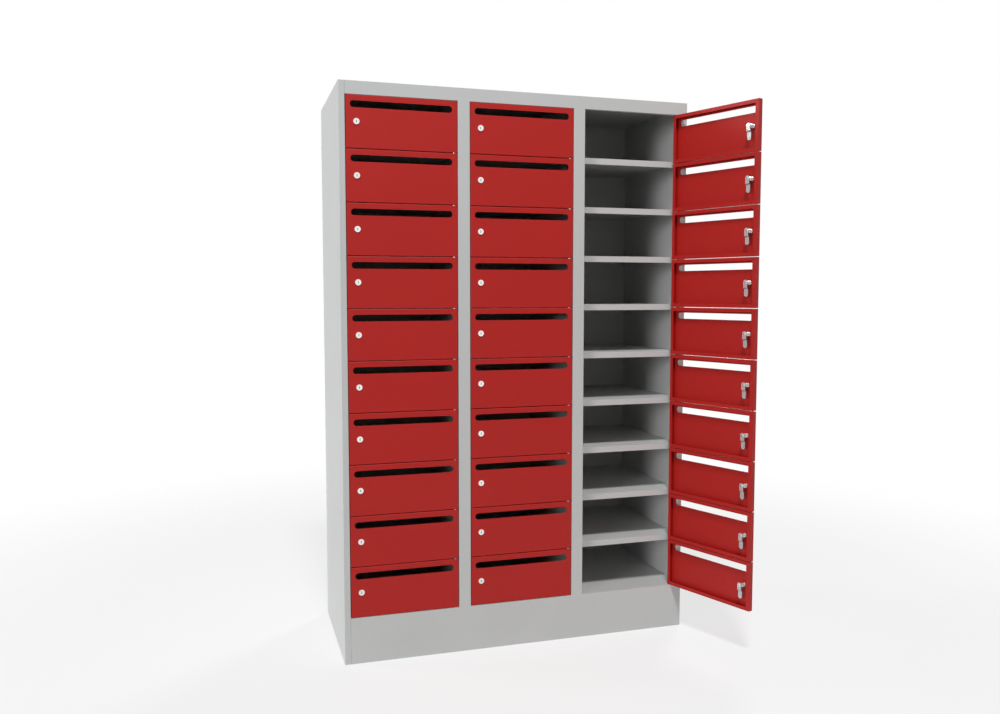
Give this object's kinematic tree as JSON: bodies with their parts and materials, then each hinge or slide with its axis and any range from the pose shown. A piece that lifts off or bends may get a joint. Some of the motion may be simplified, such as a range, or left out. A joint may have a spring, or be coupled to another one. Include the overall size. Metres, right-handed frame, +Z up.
{
  "type": "pigeonhole mail sorter cabinet",
  "caption": "Free-standing steel pigeonhole cabinet with columns of small lockers, each with a red hinged door, a letter slot and a cam lock; one column stands open.",
  "frame": {"origin": "on the floor, at the middle of the cabinet's footprint, which the open doors don't widen", "axes": "+X to the right as someone faces the doors, +Y to the back, +Z up"},
  "size_m": [1.2921, 0.8237, 1.85],
  "materials": {
    "cabinet_grey": "fine powder coat, satin",
    "door_red": "fine powder coat, satin",
    "lock_metal": "nickel plated",
    "zinc": "zinc plated",
    "nylon": "moulded nylon"
  },
  "bodies": {
    "cabinet": {"left_side": "cabinet_grey", "right_side": "cabinet_grey", "back_panel": "cabinet_grey", "top_panel": "cabinet_grey", "bottom_panel": "cabinet_grey", "plinth_front": "cabinet_grey", "left_post": "cabinet_grey", "right_post": "cabinet_grey", "left_partition": "cabinet_grey", "right_partition": "cabinet_grey", "shelves_left": "cabinet_grey", "shelves_middle": "cabinet_grey", "shelves_right": "cabinet_grey", "hinge_lugs": "zinc", "hinge_pins": "zinc", "hinge_washers": "nylon"},
    "door_left_01": {"door_left_01": "door_red"},
    "door_left_02": {"door_left_02": "door_red"},
    "door_left_03": {"door_left_03": "door_red"},
    "door_left_04": {"door_left_04": "door_red"},
    "door_left_05": {"door_left_05": "door_red"},
    "door_left_06": {"door_left_06": "door_red"},
    "door_left_07": {"door_left_07": "door_red"},
    "door_left_08": {"door_left_08": "door_red"},
    "door_left_09": {"door_left_09": "door_red"},
    "door_left_10": {"door_left_10": "door_red"},
    "door_middle_01": {"door_middle_01": "door_red"},
    "door_middle_02": {"door_middle_02": "door_red"},
    "door_middle_03": {"door_middle_03": "door_red"},
    "door_middle_04": {"door_middle_04": "door_red"},
    "door_middle_05": {"door_middle_05": "door_red"},
    "door_middle_06": {"door_middle_06": "door_red"},
    "door_middle_07": {"door_middle_07": "door_red"},
    "door_middle_08": {"door_middle_08": "door_red"},
    "door_middle_09": {"door_middle_09": "door_red"},
    "door_middle_10": {"door_middle_10": "door_red"},
    "door_right_01": {"door_right_01": "door_red"},
    "lock_right_01": {"lock_right_01": "lock_metal"},
    "door_right_02": {"door_right_02": "door_red"},
    "lock_right_02": {"lock_right_02": "lock_metal"},
    "door_right_03": {"door_right_03": "door_red"},
    "lock_right_03": {"lock_right_03": "lock_metal"},
    "door_right_04": {"door_right_04": "door_red"},
    "lock_right_04": {"lock_right_04": "lock_metal"},
    "door_right_05": {"door_right_05": "door_red"},
    "lock_right_05": {"lock_right_05": "lock_metal"},
    "door_right_06": {"door_right_06": "door_red"},
    "lock_right_06": {"lock_right_06": "lock_metal"},
    "door_right_07": {"door_right_07": "door_red"},
    "lock_right_07": {"lock_right_07": "lock_metal"},
    "door_right_08": {"door_right_08": "door_red"},
    "lock_right_08": {"lock_right_08": "lock_metal"},
    "door_right_09": {"door_right_09": "door_red"},
    "lock_right_09": {"lock_right_09": "lock_metal"},
    "door_right_10": {"door_right_10": "door_red"},
    "lock_right_10": {"lock_right_10": "lock_metal"}
  },
  "joints": [
    {"name": "door_left_01_hinge", "type": "hinge", "parent": "cabinet", "child": "door_left_01", "pos_m": [-0.2315, -0.244, 1.7261], "axis": [0, 0, 1], "range_deg": [0, 110]},
    {"name": "door_left_02_hinge", "type": "hinge", "parent": "cabinet", "child": "door_left_02", "pos_m": [-0.2315, -0.244, 1.5603], "axis": [0, 0, 1], "range_deg": [0, 110]},
    {"name": "door_left_03_hinge", "type": "hinge", "parent": "cabinet", "child": "door_left_03", "pos_m": [-0.2315, -0.244, 1.3945], "axis": [0, 0, 1], "range_deg": [0, 110]},
    {"name": "door_left_04_hinge", "type": "hinge", "parent": "cabinet", "child": "door_left_04", "pos_m": [-0.2315, -0.244, 1.2287], "axis": [0, 0, 1], "range_deg": [0, 110]},
    {"name": "door_left_05_hinge", "type": "hinge", "parent": "cabinet", "child": "door_left_05", "pos_m": [-0.2315, -0.244, 1.0629], "axis": [0, 0, 1], "range_deg": [0, 110]},
    {"name": "door_left_06_hinge", "type": "hinge", "parent": "cabinet", "child": "door_left_06", "pos_m": [-0.2315, -0.244, 0.8971], "axis": [0, 0, 1], "range_deg": [0, 110]},
    {"name": "door_left_07_hinge", "type": "hinge", "parent": "cabinet", "child": "door_left_07", "pos_m": [-0.2315, -0.244, 0.7313], "axis": [0, 0, 1], "range_deg": [0, 110]},
    {"name": "door_left_08_hinge", "type": "hinge", "parent": "cabinet", "child": "door_left_08", "pos_m": [-0.2315, -0.244, 0.5655], "axis": [0, 0, 1], "range_deg": [0, 110]},
    {"name": "door_left_09_hinge", "type": "hinge", "parent": "cabinet", "child": "door_left_09", "pos_m": [-0.2315, -0.244, 0.3997], "axis": [0, 0, 1], "range_deg": [0, 110]},
    {"name": "door_left_10_hinge", "type": "hinge", "parent": "cabinet", "child": "door_left_10", "pos_m": [-0.2315, -0.244, 0.2339], "axis": [0, 0, 1], "range_deg": [0, 110]},
    {"name": "door_middle_01_hinge", "type": "hinge", "parent": "cabinet", "child": "door_middle_01", "pos_m": [0.1685, -0.244, 1.7261], "axis": [0, 0, 1], "range_deg": [0, 110]},
    {"name": "door_middle_02_hinge", "type": "hinge", "parent": "cabinet", "child": "door_middle_02", "pos_m": [0.1685, -0.244, 1.5603], "axis": [0, 0, 1], "range_deg": [0, 110]},
    {"name": "door_middle_03_hinge", "type": "hinge", "parent": "cabinet", "child": "door_middle_03", "pos_m": [0.1685, -0.244, 1.3945], "axis": [0, 0, 1], "range_deg": [0, 110]},
    {"name": "door_middle_04_hinge", "type": "hinge", "parent": "cabinet", "child": "door_middle_04", "pos_m": [0.1685, -0.244, 1.2287], "axis": [0, 0, 1], "range_deg": [0, 110]},
    {"name": "door_middle_05_hinge", "type": "hinge", "parent": "cabinet", "child": "door_middle_05", "pos_m": [0.1685, -0.244, 1.0629], "axis": [0, 0, 1], "range_deg": [0, 110]},
    {"name": "door_middle_06_hinge", "type": "hinge", "parent": "cabinet", "child": "door_middle_06", "pos_m": [0.1685, -0.244, 0.8971], "axis": [0, 0, 1], "range_deg": [0, 110]},
    {"name": "door_middle_07_hinge", "type": "hinge", "parent": "cabinet", "child": "door_middle_07", "pos_m": [0.1685, -0.244, 0.7313], "axis": [0, 0, 1], "range_deg": [0, 110]},
    {"name": "door_middle_08_hinge", "type": "hinge", "parent": "cabinet", "child": "door_middle_08", "pos_m": [0.1685, -0.244, 0.5655], "axis": [0, 0, 1], "range_deg": [0, 110]},
    {"name": "door_middle_09_hinge", "type": "hinge", "parent": "cabinet", "child": "door_middle_09", "pos_m": [0.1685, -0.244, 0.3997], "axis": [0, 0, 1], "range_deg": [0, 110]},
    {"name": "door_middle_10_hinge", "type": "hinge", "parent": "cabinet", "child": "door_middle_10", "pos_m": [0.1685, -0.244, 0.2339], "axis": [0, 0, 1], "range_deg": [0, 110]},
    {"name": "door_right_01_hinge", "type": "hinge", "parent": "cabinet", "child": "door_right_01", "pos_m": [0.5685, -0.244, 1.7261], "axis": [0, 0, 1], "range_deg": [-110, 0]},
    {"name": "lock_right_01_turn", "type": "hinge", "parent": "door_right_01", "child": "lock_right_01", "pos_m": [0.67555, -0.53812, 1.7261], "axis": [-0.9397, -0.342, 0], "range_deg": [0, 90]},
    {"name": "door_right_02_hinge", "type": "hinge", "parent": "cabinet", "child": "door_right_02", "pos_m": [0.5685, -0.244, 1.5603], "axis": [0, 0, 1], "range_deg": [-110, 0]},
    {"name": "lock_right_02_turn", "type": "hinge", "parent": "door_right_02", "child": "lock_right_02", "pos_m": [0.67555, -0.53812, 1.5603], "axis": [-0.9397, -0.342, 0], "range_deg": [0, 90]},
    {"name": "door_right_03_hinge", "type": "hinge", "parent": "cabinet", "child": "door_right_03", "pos_m": [0.5685, -0.244, 1.3945], "axis": [0, 0, 1], "range_deg": [-110, 0]},
    {"name": "lock_right_03_turn", "type": "hinge", "parent": "door_right_03", "child": "lock_right_03", "pos_m": [0.67555, -0.53812, 1.3945], "axis": [-0.9397, -0.342, 0], "range_deg": [0, 90]},
    {"name": "door_right_04_hinge", "type": "hinge", "parent": "cabinet", "child": "door_right_04", "pos_m": [0.5685, -0.244, 1.2287], "axis": [0, 0, 1], "range_deg": [-110, 0]},
    {"name": "lock_right_04_turn", "type": "hinge", "parent": "door_right_04", "child": "lock_right_04", "pos_m": [0.67555, -0.53812, 1.2287], "axis": [-0.9397, -0.342, 0], "range_deg": [0, 90]},
    {"name": "door_right_05_hinge", "type": "hinge", "parent": "cabinet", "child": "door_right_05", "pos_m": [0.5685, -0.244, 1.0629], "axis": [0, 0, 1], "range_deg": [-110, 0]},
    {"name": "lock_right_05_turn", "type": "hinge", "parent": "door_right_05", "child": "lock_right_05", "pos_m": [0.67555, -0.53812, 1.0629], "axis": [-0.9397, -0.342, 0], "range_deg": [0, 90]},
    {"name": "door_right_06_hinge", "type": "hinge", "parent": "cabinet", "child": "door_right_06", "pos_m": [0.5685, -0.244, 0.8971], "axis": [0, 0, 1], "range_deg": [-110, 0]},
    {"name": "lock_right_06_turn", "type": "hinge", "parent": "door_right_06", "child": "lock_right_06", "pos_m": [0.67555, -0.53812, 0.8971], "axis": [-0.9397, -0.342, 0], "range_deg": [0, 90]},
    {"name": "door_right_07_hinge", "type": "hinge", "parent": "cabinet", "child": "door_right_07", "pos_m": [0.5685, -0.244, 0.7313], "axis": [0, 0, 1], "range_deg": [-110, 0]},
    {"name": "lock_right_07_turn", "type": "hinge", "parent": "door_right_07", "child": "lock_right_07", "pos_m": [0.67555, -0.53812, 0.7313], "axis": [-0.9397, -0.342, 0], "range_deg": [0, 90]},
    {"name": "door_right_08_hinge", "type": "hinge", "parent": "cabinet", "child": "door_right_08", "pos_m": [0.5685, -0.244, 0.5655], "axis": [0, 0, 1], "range_deg": [-110, 0]},
    {"name": "lock_right_08_turn", "type": "hinge", "parent": "door_right_08", "child": "lock_right_08", "pos_m": [0.67555, -0.53812, 0.5655], "axis": [-0.9397, -0.342, 0], "range_deg": [0, 90]},
    {"name": "door_right_09_hinge", "type": "hinge", "parent": "cabinet", "child": "door_right_09", "pos_m": [0.5685, -0.244, 0.3997], "axis": [0, 0, 1], "range_deg": [-110, 0]},
    {"name": "lock_right_09_turn", "type": "hinge", "parent": "door_right_09", "child": "lock_right_09", "pos_m": [0.67555, -0.53812, 0.3997], "axis": [-0.9397, -0.342, 0], "range_deg": [0, 90]},
    {"name": "door_right_10_hinge", "type": "hinge", "parent": "cabinet", "child": "door_right_10", "pos_m": [0.5685, -0.244, 0.2339], "axis": [0, 0, 1], "range_deg": [-110, 0]},
    {"name": "lock_right_10_turn", "type": "hinge", "parent": "door_right_10", "child": "lock_right_10", "pos_m": [0.67555, -0.53812, 0.2339], "axis": [-0.9397, -0.342, 0], "range_deg": [0, 90]}
  ]
}
